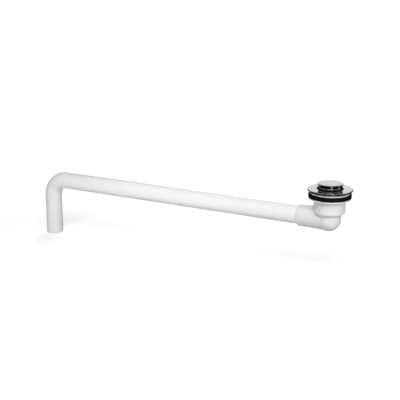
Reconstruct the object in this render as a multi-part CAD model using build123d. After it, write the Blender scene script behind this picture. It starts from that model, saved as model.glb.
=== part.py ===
from build123d import *
import math
import os

# Bath waste with a push plug, moulded shoe and outlet pipe, in millimetres.
# The waste axis is Z, the pipe leaves along -X, and Z = 0 is the underside of the drain flange,
# where it bears on the floor of the bath.

# Push plug
cap_diameter = 43.4
cap_height = 8.6
cap_disc = 2.0
cap_crown = 0.4
cap_edge_round = 0.6
cap_lip_flat = 0.5
cap_lip_round = 0.4
skirt_inset = 1.4
skirt_wall = 1.6
skirt_bead = 0.4
bead_height = 2.0
boss_wall = 3.0
plug_travel = 8.5
closed_proud = 1.3

# Seal under the plug
seal_web = 1.6
seal_lip_depth = 3.2
seal_lip_width = 3.2
seal_clearance = 0.15
retainer_thickness = 1.6
retainer_clearance = 0.2

# Drain flange and tail
flange_diameter = 76.6
flange_rim = 2.2
rim_round = 1.3
throat_round = 0.4
throat_gap = 0.9
throat_taper = 12.0
neck_wall = 1.6
tail_bore_wall = 3.7
tail_length = 34.0
tail_chamfer = 1.0
crossbar_count = 4
crossbar_width = 3.2
crossbar_height = 6.0
hub_depth = 22.0
hub_height = 8.0
hub_wall = 3.0

# Gaskets and washer between the flange and the shoe
stack_clearance = 0.8
flange_gasket_thickness = 2.0
flange_gasket_inset = 2.2
slip_washer_thickness = 3.3
slip_washer_inset = 4.9
shoe_gasket_thickness = 7.5
shoe_gasket_inset = 2.2
gasket_round = 0.8

# Moulded shoe
shoe_flange_thickness = 2.5
shoe_flange_inset = 2.8
shoe_edge_round = 0.8
thread_clearance = 0.2
cup_wall = 2.8
cup_height = 28.6
shoulder_ledge = 0.5
cup_fillet = 0.6
bowl_wall = 3.0
bowl_step = 2.0
outlet_drop = 9.5
socket_reach = 26.3
socket_depth = 24.0
socket_wall = 2.5
socket_draft = 0.8
socket_edge = 0.9
junction_fillet = 0.4

# Outlet pipe
pipe_od = 32.0
pipe_wall = 1.8
pipe_clearance = 0.1
run_length = 576.0
bend_radius = 32.0
bend_flattening = 0.5
bend_bulge = 0.25
downpipe_drop = 109.5
spigot_chamfer = 1.0

# Sliding core of the plug
screw_clearance = 0.05
running_clearance = 0.05
stop_clearance = 0.1
sleeve_radius = 7.5
sleeve_bore = 9.6
stub_diameter = 12.0
stub_engagement = 4.8
sleeve_end = 2.0
over_travel = 0.5
head_length = 3.0
stem_diameter = 7.6
seat_thickness = 2.0
seat_diameter = 22.0
stud_diameter = 8.0
circlip_thickness = 1.0
circlip_grip = 0.8
circlip_gap = 3.0
circlip_clearance = 0.3
track_width = 5.4
track_depth = 1.5
track_lane = 1.7
latch_diameter = 1.2
latch_clearance = 0.1
latch_rise = 1.8
clip_thickness = 0.6
clip_width = 2.8
clip_gap = 4.0
spring_wire = 1.3
spring_turns = 7
spring_clearance = 0.7

# Levels of the plug at rest, raised
flange_top = flange_rim
cap_top = flange_top + plug_travel + closed_proud
skirt_bottom = cap_top - cap_height
seal_web_bottom = skirt_bottom - seal_web
seal_lip_bottom = skirt_bottom - seal_lip_depth
shoulder = seal_web_bottom - retainer_thickness
stub_top = skirt_bottom + stub_engagement
bore_top = stub_top - sleeve_end

# Levels of the fixed core
hub_top = -hub_depth
seat_top = hub_top + seat_thickness
sleeve_bottom = seat_top + plug_travel + over_travel
head_top = bore_top - plug_travel - over_travel
head_bottom = head_top - head_length
circlip_top = head_bottom - stop_clearance
latch_level = sleeve_bottom + latch_rise

# Levels of the stack and the shoe
gasket_bottom = -flange_gasket_thickness
washer_bottom = gasket_bottom - slip_washer_thickness
shoe_top = washer_bottom - shoe_gasket_thickness
cup_bottom = shoe_top - cup_height
pipe_level = cup_bottom - outlet_drop
pipe_end = pipe_level - downpipe_drop

# Radii that pieces share
cap_radius = cap_diameter / 2
skirt_radius = cap_radius - skirt_inset
stud_radius = stud_diameter / 2
stub_radius = stub_diameter / 2
bore_radius = sleeve_bore / 2
stem_radius = stem_diameter / 2
throat_radius = cap_radius + throat_gap
throat_slope = math.tan(math.radians(throat_taper))
tail_radius = throat_radius - flange_rim * throat_slope + neck_wall
tail_bore = tail_radius - tail_bore_wall
stack_bore = tail_radius + stack_clearance
flange_radius = flange_diameter / 2
cup_bore = tail_radius + thread_clearance
cup_radius = cup_bore + cup_wall
pipe_radius = pipe_od / 2
waterway = pipe_radius - pipe_wall
socket_bore = pipe_radius + pipe_clearance
socket_radius = socket_bore + socket_wall
bowl_radius = socket_radius + bowl_step
cup_corner = cup_radius - bowl_radius - shoulder_ledge
mouth = cup_radius + socket_reach
socket_stop = mouth - socket_depth


def turned(outline, rounds=()):
    """A solid of revolution about Z from (radius, height) points, with some corners rounded."""
    face = make_face(Polyline(*outline, close=True))
    for corner, radius in rounds:
        face = fillet(face.vertices().sort_by_distance(corner)[0], radius)
    return revolve(Plane.XZ * face, Axis.Z)


def ring(inner, outer, bottom, top):
    """A plain ring about Z."""
    return turned([(inner, bottom), (outer, bottom), (outer, top), (inner, top)])


def disc(radius, bottom, top):
    """A plain round bar about Z."""
    return Pos(0, 0, bottom) * Cylinder(radius, top - bottom, align=(Align.CENTER, Align.CENTER, Align.MIN))


def bar_along_x(radius, start, end, level):
    """A round bar along X at a given level."""
    bar = Cylinder(radius, end - start, align=(Align.CENTER, Align.CENTER, Align.MIN))
    return Pos(start, 0, level) * Rot(0, 90, 0) * bar


def throat_at(level):
    """Radius of the drain flange's conical throat at a level."""
    return throat_radius - (flange_top - level) * throat_slope


def make_drain_flange():
    """Turned flange, conical throat and threaded tail, with cross bars and a tapped hub across the bore."""
    cone_end = flange_top - (throat_radius - tail_bore) / throat_slope
    body = turned(
        [
            (throat_radius, flange_top),
            (flange_radius, flange_top),
            (flange_radius, 0),
            (tail_radius, 0),
            (tail_radius, tail_chamfer - tail_length),
            (tail_radius - tail_chamfer, -tail_length),
            (tail_bore, -tail_length),
            (tail_bore, cone_end),
        ],
        [((flange_radius, flange_top), rim_round), ((throat_radius, flange_top), throat_round)],
    )
    hub_radius = stud_radius + screw_clearance + hub_wall
    hub_bottom = hub_top - hub_height
    spider = disc(hub_radius, hub_bottom, hub_top)
    reach = tail_bore + tail_bore_wall / 2
    arm = Box(reach, crossbar_width, crossbar_height, align=(Align.MIN, Align.CENTER, Align.MIN))
    for index in range(crossbar_count):
        turn = 360 * (index + 0.5) / crossbar_count
        spider += Rot(0, 0, turn) * Pos(0, 0, hub_bottom) * arm
    return body + spider - disc(stud_radius + screw_clearance, hub_bottom, hub_top)


def make_stack():
    """The two gaskets and the slip washer between the flange and the shoe."""
    levels = {
        "flange_gasket": (flange_gasket_inset, gasket_bottom, 0, 0),
        "slip_washer": (slip_washer_inset, washer_bottom, gasket_bottom, 0),
        "shoe_gasket": (shoe_gasket_inset, shoe_top, washer_bottom, gasket_round),
    }
    stack = {}
    for name, (inset, bottom, top, rounding) in levels.items():
        outer = flange_radius - inset
        rounds = [((outer, bottom), rounding), ((outer, top), rounding)] if rounding else []
        stack[name] = turned([(stack_bore, bottom), (outer, bottom), (outer, top), (stack_bore, top)], rounds)
    return stack


def make_waste_shoe():
    """One moulding: clamping flange, threaded cup, round bowl and a drafted socket for the outlet pipe."""
    rim = flange_radius - shoe_flange_inset
    rim_bottom = shoe_top - shoe_flange_thickness
    outside = turned(
        [
            (0, shoe_top),
            (rim, shoe_top),
            (rim, rim_bottom),
            (cup_radius, rim_bottom),
            (cup_radius, cup_bottom),
            (bowl_radius, cup_bottom),
            (bowl_radius, pipe_level),
            (0, pipe_level),
        ],
        [
            ((rim, rim_bottom), shoe_edge_round),
            ((cup_radius, rim_bottom), cup_fillet),
            ((cup_radius, cup_bottom), cup_corner),
        ],
    )
    outside += Pos(0, 0, pipe_level) * Sphere(bowl_radius)
    root = socket_radius + socket_draft
    socket = Cone(root, socket_radius, mouth, align=(Align.CENTER, Align.CENTER, Align.MIN))
    socket = chamfer(socket.faces().sort_by(Axis.Z)[-1].edges(), socket_edge)
    outside += Pos(0, 0, pipe_level) * Rot(0, -90, 0) * socket
    outside = fillet(outside.edges().filter_by(GeomType.BSPLINE), junction_fillet)

    bowl_bore = bowl_radius - bowl_wall
    floor = cup_bottom + bowl_wall
    inside = disc(cup_bore, floor, shoe_top) + disc(bowl_bore, pipe_level, floor)
    inside += Pos(0, 0, pipe_level) * Sphere(bowl_bore)
    inside += bar_along_x(waterway, -mouth, 0, pipe_level)
    inside += bar_along_x(socket_bore, -mouth, -socket_stop, pipe_level)
    return outside - inside


def bend_tube(shrink):
    """The heat-formed bend, filled: round at both ends and slightly oval half way."""
    centre = Pos(bend_radius - run_length, 0, pipe_level - bend_radius)
    path = centre * (Plane.XZ.location * CenterArc((0, 0), bend_radius, 90, 90))
    radius = pipe_radius - shrink
    sections = []
    for share in (0.0, 0.5, 1.0):
        flattening = bend_flattening * math.sin(math.pi * share)
        bulge = bend_bulge * math.sin(math.pi * share)
        plane = Plane(path @ share, x_dir=(0, 1, 0), z_dir=path % share)
        sections.append(plane * Ellipse(radius + bulge, radius - flattening))
    return sweep(sections, path=path, multisection=True)


def make_outlet_pipe():
    """One pipe: a straight run from the socket's stop, a tight bend and a plain end with a bevelled edge."""
    bend_start = -(run_length - bend_radius)
    bend_end = pipe_level - bend_radius
    tubes = []
    for radius, shrink in ((pipe_radius, 0), (waterway, pipe_wall)):
        run = bar_along_x(radius, bend_start, -socket_stop, pipe_level)
        down = Pos(-run_length, 0, 0) * disc(radius, pipe_end, bend_end)
        tubes.append((run, bend_tube(shrink), down))
    outer, inner = tubes
    down = outer[2]
    end_edge = down.faces().sort_by(Axis.Z)[0].edges()
    outer = (outer[0], outer[1], chamfer(end_edge, spigot_chamfer))
    pieces = [solid - bore for solid, bore in zip(outer, inner)]
    return pieces[0] + pieces[1] + pieces[2]


def make_plug_cap():
    """Crowned cap with an overhanging lip, a hollow skirt with a round bead, and a tapped centre boss."""
    crown_edge = cap_top - cap_crown
    lip_bottom = crown_edge - cap_edge_round - cap_lip_flat - cap_lip_round
    crown = ThreePointArc((-cap_radius, crown_edge), (0, cap_top), (cap_radius, crown_edge))
    half_crown = crown.trim(0.5, 1)
    bead_top = (skirt_radius, skirt_bottom + bead_height)
    bead_middle = (skirt_radius + skirt_bead, skirt_bottom + bead_height / 2)
    bead_bottom = (skirt_radius, skirt_bottom)
    bead = ThreePointArc(bead_top, bead_middle, bead_bottom)
    side = Polyline((cap_radius, crown_edge), (cap_radius, lip_bottom), (skirt_radius, lip_bottom), bead_top)
    base = Polyline(bead_bottom, (0, skirt_bottom), (0, cap_top))
    face = make_face(Curve() + [half_crown, side, bead, base])
    rounds = (((cap_radius, crown_edge), cap_edge_round), ((cap_radius, lip_bottom), cap_lip_round))
    for corner, radius in rounds:
        face = fillet(face.vertices().sort_by_distance(corner)[0], radius)
    solid = revolve(Plane.XZ * face, Axis.Z)
    ceiling = cap_top - cap_disc
    boss_radius = stub_radius + screw_clearance + boss_wall
    solid -= ring(boss_radius, skirt_radius - skirt_wall, skirt_bottom, ceiling)
    return solid - disc(stub_radius + screw_clearance, skirt_bottom, stub_top + screw_clearance)


def seal_at(level):
    """Radius of the seal's tapered lip at a level, a clearance inside the throat once pressed."""
    return throat_at(level - plug_travel) - seal_clearance


def make_plug_seal():
    """Rubber seal: a flat web clamped under the skirt and a lip that matches the cone of the throat."""
    hole = stub_radius + retainer_clearance
    lip_inside = seal_at(seal_lip_bottom) - seal_lip_width
    return turned(
        [
            (hole, skirt_bottom),
            (seal_at(skirt_bottom), skirt_bottom),
            (seal_at(seal_lip_bottom), seal_lip_bottom),
            (lip_inside, seal_lip_bottom),
            (lip_inside, seal_web_bottom),
            (hole, seal_web_bottom),
        ]
    )


def make_seal_retainer():
    """Flat disc that the sleeve's shoulder clamps against the seal."""
    lip_inside = seal_at(seal_lip_bottom) - seal_lip_width
    return ring(stub_radius + retainer_clearance, lip_inside - retainer_clearance, shoulder, seal_web_bottom)


def make_slider_sleeve():
    """Sleeve with a screwed stub for the cap, a closed bore for the head, a ring groove and a latch slot."""
    sleeve = disc(sleeve_radius, sleeve_bottom, shoulder) + disc(stub_radius, shoulder, stub_top)
    sleeve -= disc(bore_radius, sleeve_bottom, bore_top)
    sleeve -= disc(bore_radius + circlip_grip, circlip_top - circlip_thickness, circlip_top)
    slot_height = latch_diameter + 2 * latch_clearance
    slot = Box(track_width, sleeve_radius, slot_height, align=(Align.CENTER, Align.MAX, Align.CENTER))
    return sleeve - Pos(0, -stem_radius, latch_level) * slot


def make_core_spindle():
    """Fixed core: stud in the hub, spring seat, stem with the heart-shaped latch track, and a guide head."""
    core = disc(stud_radius, hub_top - hub_height, hub_top)
    core += disc(seat_diameter / 2, hub_top, seat_top)
    core += disc(stem_radius, seat_top, head_bottom)
    core += disc(bore_radius - running_clearance, head_bottom, head_top)
    track_top = latch_level + latch_diameter
    track_bottom = latch_level - plug_travel - latch_diameter
    track_height = track_top - track_bottom
    pocket = Box(track_width, track_depth, track_height, align=(Align.CENTER, Align.MIN, Align.MIN))
    core -= Pos(0, -stem_radius, track_bottom) * pocket
    half = track_lane - latch_diameter / 2 - latch_clearance
    notch = track_bottom + 2 * latch_diameter
    heart = Polyline(
        (0, track_top - 2 * latch_diameter),
        (half, track_top - 2 * latch_diameter - half),
        (half, notch),
        (0, notch + half),
        (-half, notch),
        (-half, track_top - 2 * latch_diameter - half),
        close=True,
    )
    island = extrude(Plane.XZ * make_face(heart), track_depth)
    floor_level = track_depth - stem_radius
    return core + Pos(0, floor_level, 0) * island


def make_return_spring():
    """Coil spring between the core's seat and the retainer, with ground ends."""
    coil_radius = sleeve_radius + clip_thickness + spring_clearance + spring_wire / 2
    height = shoulder - seat_top
    path = Pos(0, 0, seat_top) * Helix(height / spring_turns, height, coil_radius)
    section = Plane(path @ 0, z_dir=path % 0) * Circle(spring_wire / 2)
    coil = sweep(section, path=path)
    return coil & disc(coil_radius + spring_wire, seat_top, shoulder)


def make_latch_pin():
    """Straight pin through the sleeve's slot, with its tip in the left lane of the track."""
    tip = -stem_radius + track_depth - latch_clearance
    length = tip + math.sqrt(sleeve_radius**2 - (track_lane + latch_diameter / 2) ** 2)
    pin = Cylinder(latch_diameter / 2, length, align=(Align.CENTER, Align.CENTER, Align.MIN))
    return Pos(-track_lane, tip, latch_level) * Rot(90, 0, 0) * pin


def make_pin_clip():
    """Open spring band round the sleeve, over the latch pin."""
    half = clip_width / 2
    band = ring(sleeve_radius, sleeve_radius + clip_thickness, latch_level - half, latch_level + half)
    gap = Box(clip_gap, 2 * sleeve_radius, clip_width, align=(Align.CENTER, Align.MIN, Align.CENTER))
    return band - Pos(0, 0, latch_level) * gap


def make_sleeve_circlip():
    """Open ring in the sleeve's groove, under the core's head."""
    inner = stem_radius + circlip_clearance
    bottom = circlip_top - circlip_thickness
    clip = ring(inner, bore_radius + circlip_grip, bottom, circlip_top)
    gap = Box(circlip_gap, 2 * sleeve_radius, circlip_thickness, align=(Align.CENTER, Align.MIN, Align.MIN))
    return clip - Pos(0, 0, bottom) * gap


pieces = {
    "drain_flange": make_drain_flange(),
    **make_stack(),
    "waste_shoe": make_waste_shoe(),
    "outlet_pipe": make_outlet_pipe(),
    "plug_cap": make_plug_cap(),
    "plug_seal": make_plug_seal(),
    "seal_retainer": make_seal_retainer(),
    "slider_sleeve": make_slider_sleeve(),
    "core_spindle": make_core_spindle(),
    "return_spring": make_return_spring(),
    "latch_pin": make_latch_pin(),
    "pin_clip": make_pin_clip(),
    "sleeve_circlip": make_sleeve_circlip(),
}

os.makedirs("parts", exist_ok=True)
for node, shape in pieces.items():
    export_step(shape, f"parts/{node}.step")
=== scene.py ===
import math

import bmesh
import bpy
from mathutils import Matrix, Vector


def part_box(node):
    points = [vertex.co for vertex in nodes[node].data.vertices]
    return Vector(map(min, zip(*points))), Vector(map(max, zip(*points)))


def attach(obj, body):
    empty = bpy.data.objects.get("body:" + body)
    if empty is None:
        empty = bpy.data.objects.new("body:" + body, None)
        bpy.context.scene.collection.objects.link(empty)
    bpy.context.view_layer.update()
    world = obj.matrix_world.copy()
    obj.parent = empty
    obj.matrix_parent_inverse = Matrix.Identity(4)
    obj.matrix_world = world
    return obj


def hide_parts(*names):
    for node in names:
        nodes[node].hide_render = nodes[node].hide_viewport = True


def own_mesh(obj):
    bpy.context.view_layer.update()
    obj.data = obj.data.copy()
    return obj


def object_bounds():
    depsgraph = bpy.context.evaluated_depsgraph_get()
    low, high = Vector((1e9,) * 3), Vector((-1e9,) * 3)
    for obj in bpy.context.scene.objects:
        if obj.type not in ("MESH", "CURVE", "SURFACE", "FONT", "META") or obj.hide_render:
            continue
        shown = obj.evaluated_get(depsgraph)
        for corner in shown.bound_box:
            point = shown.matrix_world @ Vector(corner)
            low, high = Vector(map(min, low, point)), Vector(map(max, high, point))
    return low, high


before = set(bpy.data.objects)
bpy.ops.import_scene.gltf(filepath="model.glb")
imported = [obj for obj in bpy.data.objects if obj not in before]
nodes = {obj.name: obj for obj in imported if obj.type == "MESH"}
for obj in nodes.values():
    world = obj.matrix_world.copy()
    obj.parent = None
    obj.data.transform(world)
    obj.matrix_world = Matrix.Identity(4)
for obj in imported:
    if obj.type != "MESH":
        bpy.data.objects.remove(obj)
cadLow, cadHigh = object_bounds()
scene = bpy.context.scene
scene.view_settings.view_transform = "Standard"


# camera, at the photograph's angle
photoCamera = {
    "place": (0.4790, -1.3413, 0.3744),
    "turn": -28.38,  # degrees from +Y, to the right
    "tilt": 15.59,  # downwards
    "roll": 0.14,
    "lens": 78.93,  # millimetres, like the sensor
    "sensor": 36.0,
    "clip": (0.01, 60.0),
}


def setCamera(use):
    turn, tilt, roll = (math.radians(use[k]) for k in ("turn", "tilt", "roll"))
    ahead = Vector((math.sin(turn) * math.cos(tilt), math.cos(turn) * math.cos(tilt), -math.sin(tilt)))
    level = Vector((math.cos(turn), -math.sin(turn), 0))
    rise = level.cross(ahead)
    side = level * math.cos(roll) + rise * math.sin(roll)
    up = rise * math.cos(roll) - level * math.sin(roll)
    lens = bpy.data.cameras.new("photoCamera")
    lens.sensor_width = use["sensor"]
    lens.lens = use["lens"]
    lens.clip_start, lens.clip_end = use["clip"]
    seat = Matrix((side, up, -ahead)).transposed().to_4x4()
    seat.translation = Vector(use["place"])
    cam = bpy.data.objects.new("photoCamera", lens)
    cam.matrix_world = seat
    scene.collection.objects.link(cam)
    scene.camera = cam


setCamera(photoCamera)
print("camera set")


# node helpers
white = (1, 1, 1, 1)
mixShare, mixUnder, mixOver, mixResult = 0, 6, 7, 2  # sockets of a Mix node that mixes colours


def newMaterial(name):
    mat = bpy.data.materials.new(name)
    mat.use_nodes = True
    mat.node_tree.nodes.clear()
    return mat, mat.node_tree


def addNode(tree, kind, values=None, links=None, **settings):
    made = tree.nodes.new(kind)
    for key, value in settings.items():
        setattr(made, key, value)
    for key, value in (values or {}).items():
        made.inputs[key].default_value = value
    for key, source in (links or {}).items():
        tree.links.new(source, made.inputs[key])
    return made


def calc(tree, operation, *terms):  # each term is a number or a socket
    made = addNode(tree, "ShaderNodeMath", operation=operation)
    for index, term in enumerate(terms):
        if isinstance(term, (int, float)):
            made.inputs[index].default_value = term
        else:
            tree.links.new(term, made.inputs[index])
    return made.outputs[0]


def distance(tree, first, second):  # over two offsets at right angles
    squares = calc(tree, "ADD", calc(tree, "POWER", first, 2.0), calc(tree, "POWER", second, 2.0))
    return calc(tree, "SQRT", squares)


def remap(tree, value, given=(0.0, 1.0), wanted=(0.0, 1.0)):  # from the given limits to the wanted ones
    limits = {"From Min": given[0], "From Max": given[1], "To Min": wanted[0], "To Max": wanted[1]}
    return addNode(tree, "ShaderNodeMapRange", limits, {"Value": value}).outputs["Result"]


def splitAxes(tree, vector):
    return addNode(tree, "ShaderNodeSeparateXYZ", None, {"Vector": vector}).outputs


def joinAxes(tree, x, y, z):
    return addNode(tree, "ShaderNodeCombineXYZ", None, {"X": x, "Y": y, "Z": z}).outputs["Vector"]


def addNoise(tree, values, vector, scale):
    return addNode(tree, "ShaderNodeTexNoise", values, {"Vector": vector, "Scale": scale}).outputs["Fac"]


def mixShaders(tree, share, first, second):
    links = {0: share, 1: first.outputs[0], 2: second.outputs[0]}
    return addNode(tree, "ShaderNodeMixShader", None, links)


def newGroup(name, inputs, outputs):  # inputs and outputs give the kind of each named socket
    tree = bpy.data.node_groups.new(name, "ShaderNodeTree")
    for way, sockets in (("INPUT", inputs), ("OUTPUT", outputs)):
        for label, kind in sockets.items():
            tree.interface.new_socket(label, in_out=way, socket_type="NodeSocket" + kind)
    return tree, tree.nodes.new("NodeGroupInput").outputs, tree.nodes.new("NodeGroupOutput").inputs


def useGroup(tree, group, values, links):
    return addNode(tree, "ShaderNodeGroup", values, links, node_tree=group).outputs


# mould grain: fine grain left by a mould or die, as a height and a mask
grainNoise = {
    "fine": {"Detail": 3.0, "Roughness": 0.6},
    "wide": {"Detail": 2.0},
    "wideScale": 0.11,  # times the scale of the fine noise
    "spots": (0.42, 0.68),  # wide noise at which a spot begins and is full
}


def buildMouldGrain(use):
    tree, given, put = newGroup(
        "mouldGrain",
        {"Vector": "Vector", "Scale": "Float", "Coarse": "Float"},
        {"Height": "Float", "Mask": "Float"},
    )
    fine = addNoise(tree, use["fine"], given["Vector"], given["Scale"])
    wideScale = calc(tree, "MULTIPLY", given["Scale"], use["wideScale"])
    wide = addNoise(tree, use["wide"], given["Vector"], wideScale)
    tree.links.new(calc(tree, "MULTIPLY_ADD", wide, given["Coarse"], fine), put["Height"])
    tree.links.new(remap(tree, wide, use["spots"]), put["Mask"])
    return tree


# tone drift: slow change of tone over a large surface
driftNoise = {"Detail": 4.0, "Roughness": 0.55}


def buildToneDrift(use):
    tree, given, put = newGroup(
        "toneDrift",
        {"Color": "Color", "Vector": "Vector", "Scale": "Float", "Amount": "Float"},
        {"Color": "Color"},
    )
    cloud = addNoise(tree, use, given["Vector"], given["Scale"])
    swing = remap(tree, cloud, wanted=(-1.0, 1.0))
    gain = calc(tree, "MULTIPLY_ADD", swing, given["Amount"], 1.0)
    links = {0: given["Color"], "Scale": gain}
    tinted = addNode(tree, "ShaderNodeVectorMath", None, links, operation="SCALE")
    tree.links.new(tinted.outputs["Vector"], put["Color"])
    return tree


# drawn lines: fine lines along one direction, from an extrusion die, a lathe or a polishing mop
lineNoise = {
    "lines": {"Detail": 5.0, "Roughness": 0.65},
    "marks": (0.5, 0.75),  # height at which a line begins to show in the mask and is full
}


def buildDrawnLines(use):
    tree, given, put = newGroup(
        "drawnLines",
        {"Vector": "Vector", "Scale": "Float"},
        {"Height": "Float", "Mask": "Float"},
    )
    lines = addNoise(tree, use["lines"], given["Vector"], given["Scale"])
    tree.links.new(lines, put["Height"])
    tree.links.new(remap(tree, lines, use["marks"]), put["Mask"])
    return tree


# shelf dust: a little dust on faces that look upwards
dustNoise = {
    "specks": {"Detail": 6.0, "Roughness": 0.7},
    "settled": (0.5, 0.72),  # noise at which a speck begins and is full
    "upward": (0.2, 0.95),  # Z of the normal at which dust begins to lie and lies in full
}


def buildShelfDust(use):
    tree, given, put = newGroup(
        "shelfDust",
        {"Vector": "Vector", "Scale": "Float", "Amount": "Float"},
        {"Mask": "Float"},
    )
    normal = addNode(tree, "ShaderNodeNewGeometry").outputs["Normal"]
    facing = remap(tree, splitAxes(tree, normal)["Z"], use["upward"])
    specks = addNoise(tree, use["specks"], given["Vector"], given["Scale"])
    both = calc(tree, "MULTIPLY", facing, remap(tree, specks, use["settled"]))
    tree.links.new(calc(tree, "MULTIPLY", both, given["Amount"]), put["Mask"])
    return tree


mouldGrain = buildMouldGrain(grainNoise)
toneDrift = buildToneDrift(driftNoise)
drawnLines = buildDrawnLines(lineNoise)
shelfDust = buildShelfDust(dustNoise)
print("shared effects built")


# material helpers
def objectPlace(tree):
    return addNode(tree, "ShaderNodeTexCoord").outputs["Object"]


def driftingTone(tree, use):
    values = {"Color": use["color"], "Scale": use["driftScale"], "Amount": use["drift"]}
    return useGroup(tree, toneDrift, values, {"Vector": objectPlace(tree)})["Color"]


def surfaceGrain(tree, use):
    values = {"Scale": use["grain"], "Coarse": use["coarse"]}
    return useGroup(tree, mouldGrain, values, {"Vector": objectPlace(tree)})


def closeMaterial(tree, shader):
    tree.links.new(shader.outputs[0], addNode(tree, "ShaderNodeOutputMaterial").inputs["Surface"])


def closeSurface(tree, use, color, mask, height):  # the mask sets the roughness, the height the bump
    depth = {"Strength": use["bump"], "Distance": use["bumpDepth"]}
    bump = addNode(tree, "ShaderNodeBump", depth, {"Height": height})
    rough = remap(tree, mask, wanted=use["rough"])
    links = {"Base Color": color, "Roughness": rough, "Normal": bump.outputs["Normal"]}
    closeMaterial(tree, addNode(tree, "ShaderNodeBsdfPrincipled", use["fixed"], links))


def makeGrainedLook(name, use):  # a drifting tone and grain, and nothing else
    mat, tree = newMaterial(name)
    grain = surfaceGrain(tree, use)
    closeSurface(tree, use, driftingTone(tree, use), grain["Mask"], grain["Height"])
    return mat


def dress(mat, *names):
    for name in names:
        nodes[name].data.materials.clear()
        nodes[name].data.materials.append(mat)


# outlet pipe: one white extruded pipe with a heat-formed bend
pipeLook = {
    "color": (0.86, 0.86, 0.865, 1),
    "drift": 0.018,
    "driftScale": 14.0,
    "rough": (0.34, 0.46),  # where the mask is empty and full
    "fixed": {"Specular IOR Level": 0.35},  # shader values that are the same all over
    "radius": 0.016,
    "bendRadius": 0.032,  # to the middle of the pipe
    "lineScale": 520.0,
    "lineStretch": 0.012,  # change along the pipe, against the change across it
    "grain": 2400.0,
    "coarse": 0.2,
    "grainShare": 0.3,  # height of the grain, against the drawn lines
    "bump": 0.05,
    "bumpDepth": 0.0004,
}


def alongPipe(tree, use):  # a vector that follows the run, the bend and the down pipe
    low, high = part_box("outlet_pipe")
    bendStart = low.x + use["radius"] + use["bendRadius"]  # where the straight run ends, along X
    bendLevel = high.z - use["radius"] - use["bendRadius"]  # where the bend meets the down pipe
    place = splitAxes(tree, objectPlace(tree))
    past = calc(tree, "MAXIMUM", calc(tree, "SUBTRACT", bendStart, place["X"]), 0.0)
    above = calc(tree, "MAXIMUM", calc(tree, "SUBTRACT", place["Z"], bendLevel), 0.0)
    across = calc(tree, "SUBTRACT", distance(tree, past, above), use["bendRadius"])
    along = calc(tree, "MULTIPLY", calc(tree, "ADD", place["X"], place["Z"]), use["lineStretch"])
    return joinAxes(tree, along, place["Y"], across)


def makePipeLook(use):
    mat, tree = newMaterial("whitePipe")
    lines = useGroup(tree, drawnLines, {"Scale": use["lineScale"]}, {"Vector": alongPipe(tree, use)})
    grain = surfaceGrain(tree, use)
    height = calc(tree, "MULTIPLY_ADD", grain["Height"], use["grainShare"], lines["Height"])
    closeSurface(tree, use, driftingTone(tree, use), lines["Mask"], height)
    return mat


dress(makePipeLook(pipeLook), "outlet_pipe")
print("outlet pipe dressed")


# shoe: one white injection moulding
shoeLook = {
    "color": (0.765, 0.765, 0.77, 1),
    "drift": 0.025,
    "driftScale": 38.0,
    "rough": (0.38, 0.52),
    "fixed": {"Specular IOR Level": 0.35},
    "grain": 1500.0,
    "coarse": 0.5,
    "seamWidth": 0.00022,  # to each side of Y = 0, where the two halves of the mould met
    "seamHeight": 0.7,
    "bump": 0.10,
    "bumpDepth": 0.0004,
}


def makeShoeLook(use):
    mat, tree = newMaterial("whiteMoulding")
    grain = surfaceGrain(tree, use)
    offset = calc(tree, "ABSOLUTE", splitAxes(tree, objectPlace(tree))["Y"])
    seam = remap(tree, offset, (use["seamWidth"], 0.0))
    height = calc(tree, "MULTIPLY_ADD", seam, use["seamHeight"], grain["Height"])
    closeSurface(tree, use, driftingTone(tree, use), grain["Mask"], height)
    return mat


dress(makeShoeLook(shoeLook), "waste_shoe")
print("shoe dressed")


# washer and seal retainer: white nylon, brighter than the shoe and a touch warmer
washerLook = {
    "color": (0.92, 0.92, 0.91, 1),
    "drift": 0.03,
    "driftScale": 60.0,
    "rough": (0.40, 0.55),
    "fixed": {"Specular IOR Level": 0.3},
    "grain": 2100.0,
    "coarse": 0.4,
    "bump": 0.12,
    "bumpDepth": 0.0003,
}

dress(makeGrainedLook("whiteNylon", washerLook), "slip_washer", "seal_retainer")
print("washer and retainer dressed")


# gaskets and plug seal: black moulded rubber
rubberLook = {
    "color": (0.0045, 0.0045, 0.0045, 1),
    "drift": 0.25,
    "driftScale": 90.0,
    "dust": (0.08, 0.08, 0.078, 1),
    "dustAmount": 0.25,
    "dustScale": 620.0,
    "rough": (0.55, 0.75),
    "fixed": {"Specular IOR Level": 0.12},
    "grain": 2600.0,
    "coarse": 0.6,
    "bump": 0.22,
    "bumpDepth": 0.0003,
}


def makeRubberLook(use):
    mat, tree = newMaterial("blackRubber")
    grain = surfaceGrain(tree, use)
    values = {"Scale": use["dustScale"], "Amount": use["dustAmount"]}
    dust = useGroup(tree, shelfDust, values, {"Vector": objectPlace(tree)})
    links = {mixShare: dust["Mask"], mixUnder: driftingTone(tree, use)}
    paint = addNode(tree, "ShaderNodeMix", {mixOver: use["dust"]}, links, data_type="RGBA")
    closeSurface(tree, use, paint.outputs[mixResult], grain["Mask"], grain["Height"])
    return mat


dress(makeRubberLook(rubberLook), "flange_gasket", "shoe_gasket", "plug_seal")
print("rubber dressed")


# flange and plug cap: bright chrome plate, with rings left by the polishing mop
chromeLook = {
    "color": (0.55, 0.556, 0.56, 1),
    "drift": 0.02,
    "driftScale": 55.0,
    "rough": (0.045, 0.10),
    "fixed": {"Metallic": 1.0},
    "ringScale": 2600.0,
    "ringSwing": 0.00015,  # change for each radian round the axis, so that the rings aren't quite even
    "bump": 0.012,
    "bumpDepth": 0.0002,
}


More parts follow.
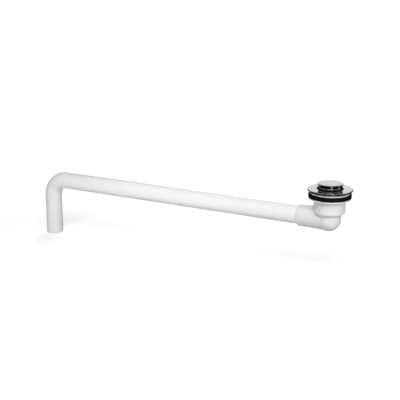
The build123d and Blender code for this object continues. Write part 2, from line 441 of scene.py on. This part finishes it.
def roundAxis(tree, use):  # changes with the height and the distance from the axis, and little round it
    place = splitAxes(tree, objectPlace(tree))
    swing = calc(tree, "MULTIPLY", calc(tree, "ARCTAN2", place["Y"], place["X"]), use["ringSwing"])
    return joinAxes(tree, distance(tree, place["X"], place["Y"]), swing, place["Z"])


def makeRingedLook(name, use):  # metal with fine rings round the waste axis
    mat, tree = newMaterial(name)
    rings = useGroup(tree, drawnLines, {"Scale": use["ringScale"]}, {"Vector": roundAxis(tree, use)})
    closeSurface(tree, use, driftingTone(tree, use), rings["Mask"], rings["Height"])
    return mat


dress(makeRingedLook("chromePlate", chromeLook), "drain_flange", "plug_cap")
print("chrome dressed")


# sleeve and core: turned brass
brassLook = {
    "color": (0.62, 0.44, 0.17, 1),
    "drift": 0.10,
    "driftScale": 160.0,
    "rough": (0.22, 0.42),
    "fixed": {"Metallic": 1.0},
    "ringScale": 1700.0,
    "ringSwing": 0.00015,
    "bump": 0.10,
    "bumpDepth": 0.0002,
}

dress(makeRingedLook("turnedBrass", brassLook), "slider_sleeve", "core_spindle")
print("brass dressed")


# spring, latch pin and clips: bright drawn steel
steelLook = {
    "color": (0.56, 0.56, 0.57, 1),
    "drift": 0.08,
    "driftScale": 240.0,
    "rough": (0.20, 0.36),
    "fixed": {"Metallic": 1.0},
    "grain": 3800.0,
    "coarse": 0.4,
    "bump": 0.08,
    "bumpDepth": 0.0002,
}

springSteel = makeGrainedLook("springSteel", steelLook)
dress(springSteel, "return_spring", "latch_pin", "pin_clip", "sleeve_circlip")
print("steel dressed")


# return spring: a coil with its ends ground flat, in place of the spring part
springLow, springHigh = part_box("return_spring")
springCoil = {
    "bottom": springLow.z,
    "top": springHigh.z,
    "reach": springHigh.x,  # from the axis to the outside of the coil
    "wire": 0.0013,
    "turns": 7,
    "stepsPerTurn": 40,
    "sides": 14,
    "pressedShare": 0.579,  # height left when the plug is down
}


def makeSpring(use):
    steps = use["turns"] * use["stepsPerTurn"]
    rise = (use["top"] - use["bottom"]) / steps
    coilRadius = use["reach"] - use["wire"] / 2
    mesh = bpy.data.meshes.new("returnCoil")
    bm = bmesh.new()
    loops = []
    for step in range(steps + 1):
        turn = 2 * math.pi * step / use["stepsPerTurn"]
        outward = Vector((math.cos(turn), math.sin(turn), 0))
        middle = outward * coilRadius + Vector((0, 0, use["bottom"] + rise * step))
        loop = []
        for side in range(use["sides"]):
            lean = 2 * math.pi * side / use["sides"]
            spoke = outward * math.cos(lean) + Vector((0, 0, math.sin(lean)))
            loop.append(bm.verts.new(middle + spoke * use["wire"] / 2))
        loops.append(loop)
    for low, high in zip(loops, loops[1:]):
        for side in range(use["sides"]):
            after = (side + 1) % use["sides"]
            bm.faces.new((low[side], low[after], high[after], high[side]))
    bm.faces.new(loops[0])
    bm.faces.new(loops[-1])
    for level, facing in ((use["bottom"], -1), (use["top"], 1)):  # grind the ends flat
        everything = bm.verts[:] + bm.edges[:] + bm.faces[:]
        cut = bmesh.ops.bisect_plane(
            bm, geom=everything, plane_co=(0, 0, level), plane_no=(0, 0, facing), clear_outer=True
        )
        rim = [e for e in cut["geom_cut"] if isinstance(e, bmesh.types.BMEdge)]
        bmesh.ops.holes_fill(bm, edges=rim, sides=0)
    bmesh.ops.recalc_face_normals(bm, faces=bm.faces[:])
    bm.to_mesh(mesh)
    bm.free()
    roundFaces = [len(p.vertices) == 4 for p in mesh.polygons]  # whole faces of the wire, not ground ends
    mesh.polygons.foreach_set("use_smooth", roundFaces)
    coil = bpy.data.objects.new("returnCoil", mesh)
    scene.collection.objects.link(coil)
    mesh.materials.append(springSteel)
    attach(coil, "waste")
    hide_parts("return_spring")
    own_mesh(coil)


makeSpring(springCoil)
print("spring coiled")


# pale floor: white with a soft shadow to the camera and in reflections, an even bounce to other rays
floorLook = {
    "reach": 20.0,  # metres to each side
    "gap": 0.0005,  # under the object
    "color": (0.90, 0.90, 0.90, 1),
    "glow": (0.35, 1.0),  # beside the object, and where the lamps no longer reach
    "fade": (0.06, 1.1),  # metres from the object
    "bounce": 0.60,
}


def seenRays(tree):  # 1 for what the camera sees, also in a reflection or through glass, and otherwise 0
    path = addNode(tree, "ShaderNodeLightPath").outputs
    seen = calc(tree, "ADD", path["Is Camera Ray"], path["Is Glossy Ray"])
    return calc(tree, "MINIMUM", calc(tree, "ADD", seen, path["Is Transmission Ray"]), 1.0)


def makeFloorLook(use):
    mat, tree = newMaterial("paleFloor")
    place = splitAxes(tree, objectPlace(tree))
    beside = calc(tree, "ABSOLUTE", calc(tree, "SUBTRACT", place["X"], (cadLow.x + cadHigh.x) / 2))
    past = calc(tree, "MAXIMUM", calc(tree, "SUBTRACT", beside, (cadHigh.x - cadLow.x) / 2), 0.0)
    strength = remap(tree, distance(tree, past, place["Y"]), use["fade"], use["glow"])
    glow = addNode(tree, "ShaderNodeEmission", {"Color": white}, {"Strength": strength})
    matt = addNode(tree, "ShaderNodeBsdfDiffuse", {"Color": use["color"]})
    lit = addNode(tree, "ShaderNodeAddShader", None, {0: matt.outputs[0], 1: glow.outputs[0]})
    bounce = addNode(tree, "ShaderNodeEmission", {"Color": white, "Strength": use["bounce"]})
    top = mixShaders(tree, seenRays(tree), bounce, lit)
    under = addNode(tree, "ShaderNodeBsdfTransparent")  # hides nothing from below
    facing = addNode(tree, "ShaderNodeNewGeometry").outputs["Backfacing"]
    closeMaterial(tree, mixShaders(tree, facing, top, under))
    return mat


def makeFloor(use):
    reach = use["reach"]
    level = cadLow.z - use["gap"]
    mesh = bpy.data.meshes.new("floor")
    corners = [(-reach, -reach), (reach, -reach), (reach, reach), (-reach, reach)]
    mesh.from_pydata([(x, y, level) for x, y in corners], [], [(0, 1, 2, 3)])
    mesh.materials.append(makeFloorLook(use))
    floor = bpy.data.objects.new("floor", mesh)
    scene.collection.objects.link(floor)


makeFloor(floorLook)
print("floor laid")


# studio: an even sky, lamps, and cards that only reflections show
runMiddle = (-0.25, 0.0, -0.05)
bendMiddle = (-0.54, 0.0, -0.08)
shoeMiddle = (0.0, 0.0, -0.03)
studio = {
    "sky": {"seen": 1.0, "light": 0.10},  # to the camera and in reflections, and as light
    "lamps": {  # a turn goes round from the front, -Y, towards +X, and a lift up from the level, in degrees
        "key": {"aim": runMiddle, "turn": 28, "lift": 45, "away": 1.6,  # large, over the camera
                "size": 1.0, "spread": 180, "power": 12.6},
        "back": {"aim": runMiddle, "turn": 208, "lift": 60, "away": 1.6,  # large, high behind
                 "size": 1.0, "spread": 180, "power": 6.2},
        "rear": {"aim": runMiddle, "turn": 208, "lift": 12, "away": 1.6,  # large, low behind
                 "size": 1.0, "spread": 180, "power": 9.0},
        "run": {"aim": runMiddle, "turn": 0, "lift": 19, "away": 0.9,  # on the straight run
                "size": 0.5, "spread": 44, "power": 0.25},
        "farEnd": {"aim": bendMiddle, "turn": 10, "lift": 15, "away": 0.7,  # on the bend
                   "size": 0.4, "spread": 60, "power": 0.13},
        "side": {"aim": shoeMiddle, "turn": 80, "lift": 10, "away": 0.45,  # beside the shoe
                 "size": 0.16, "spread": 180, "power": 0.30},
        "front": {"aim": shoeMiddle, "turn": 48, "lift": 30, "away": 0.45,  # small, for a crisp shadow
                  "size": 0.04, "spread": 180, "power": 0.52},
    },
    "cards": {
        "tableCloth": {"middle": (-0.2, 0.0, -0.158), "aim": (-0.2, 0.0, 1.0),  # dark, just over the floor
                       "size": (3.0, 3.0), "tone": 0.004},
        "hood": {"middle": (0.0, -0.3, 0.8), "aim": (0.0, -0.3, 0.0),  # dim, overhead
                 "size": (3.0, 1.6), "tone": 0.13},
        "softBox": {"middle": (0.12, -0.30, 0.58), "aim": (0.0, 0.0, 0.0),  # bright, above and in front
                    "size": (0.30, 0.16), "tone": 2.0},
    },
    "flags": {  # curved cards, from one turn to another
        "blackFlag": {"radius": 0.8, "turns": (-128, 190), "low": -0.158, "high": 0.8,
                      "tone": 0.008, "fade": (0.25, 0.33), "highTone": 0.45},
        "frontStrip": {"radius": 0.6, "turns": (26, 43), "low": -0.155, "high": 0.5, "tone": 0.35},
        "sideStrip": {"radius": 0.6, "turns": (103, 113), "low": -0.155, "high": 0.5, "tone": 0.4},
    },
    "flagSteps": 40,
}


def makeSky(use):
    world = bpy.data.worlds.new("studio")
    world.use_nodes = True
    tree = world.node_tree
    tree.nodes.clear()
    seen = addNode(tree, "ShaderNodeBackground", {"Color": white, "Strength": use["seen"]})
    light = addNode(tree, "ShaderNodeBackground", {"Color": white, "Strength": use["light"]})
    both = mixShaders(tree, seenRays(tree), light, seen)
    tree.links.new(both.outputs[0], addNode(tree, "ShaderNodeOutputWorld").inputs["Surface"])
    scene.world = world


def makeLamp(name, use):
    turn, lift = math.radians(use["turn"]), math.radians(use["lift"])
    outward = Vector((math.sin(turn) * math.cos(lift), -math.cos(turn) * math.cos(lift), math.sin(lift)))
    lamp = bpy.data.lights.new(name, "AREA")
    lamp.shape = "DISK"
    lamp.size = use["size"]
    lamp.energy = use["power"]
    lamp.spread = math.radians(use["spread"])
    made = bpy.data.objects.new(name, lamp)
    made.location = Vector(use["aim"]) + outward * use["away"]
    made.rotation_euler = outward.to_track_quat("Z", "Y").to_euler()
    made.visible_camera = False
    made.visible_glossy = False
    scene.collection.objects.link(made)


def cardGlow(tree, use):  # one tone, or a tone that rises to another between two levels
    glow = addNode(tree, "ShaderNodeEmission", {"Color": white, "Strength": use["tone"]})
    if "fade" in use:
        level = splitAxes(tree, objectPlace(tree))["Z"]
        rise = remap(tree, level, use["fade"], (use["tone"], use["highTone"]))
        tree.links.new(rise, glow.inputs["Strength"])
    return glow


def hangCard(name, use, corners, faces):
    mat, tree = newMaterial(name)
    closeMaterial(tree, cardGlow(tree, use))
    mesh = bpy.data.meshes.new(name)
    mesh.from_pydata(corners, [], faces)
    mesh.materials.append(mat)
    card = bpy.data.objects.new(name, mesh)
    card.visible_camera = False
    card.visible_diffuse = False
    card.visible_shadow = False
    card.visible_transmission = False
    scene.collection.objects.link(card)
    return card


def makeCard(name, use):
    half, tall = use["size"][0] / 2, use["size"][1] / 2
    corners = [(-half, -tall, 0), (half, -tall, 0), (half, tall, 0), (-half, tall, 0)]
    card = hangCard(name, use, corners, [(0, 1, 2, 3)])
    card.location = use["middle"]
    card.rotation_euler = (Vector(use["aim"]) - Vector(use["middle"])).to_track_quat("Z", "Y").to_euler()


def makeFlag(name, use, steps):  # a curved card that stands round the waste axis
    first, last = use["turns"]
    corners = []
    for step in range(steps + 1):
        turn = math.radians(first + (last - first) * step / steps)
        for level in (use["low"], use["high"]):
            corners.append((math.sin(turn) * use["radius"], -math.cos(turn) * use["radius"], level))
    faces = [(2 * i, 2 * i + 2, 2 * i + 3, 2 * i + 1) for i in range(steps)]
    hangCard(name, use, corners, faces)


makeSky(studio["sky"])
for name, use in studio["lamps"].items():
    makeLamp(name, use)
for name, use in studio["cards"].items():
    makeCard(name, use)
for name, use in studio["flags"].items():
    makeFlag(name, use, studio["flagSteps"])
print("studio lit")
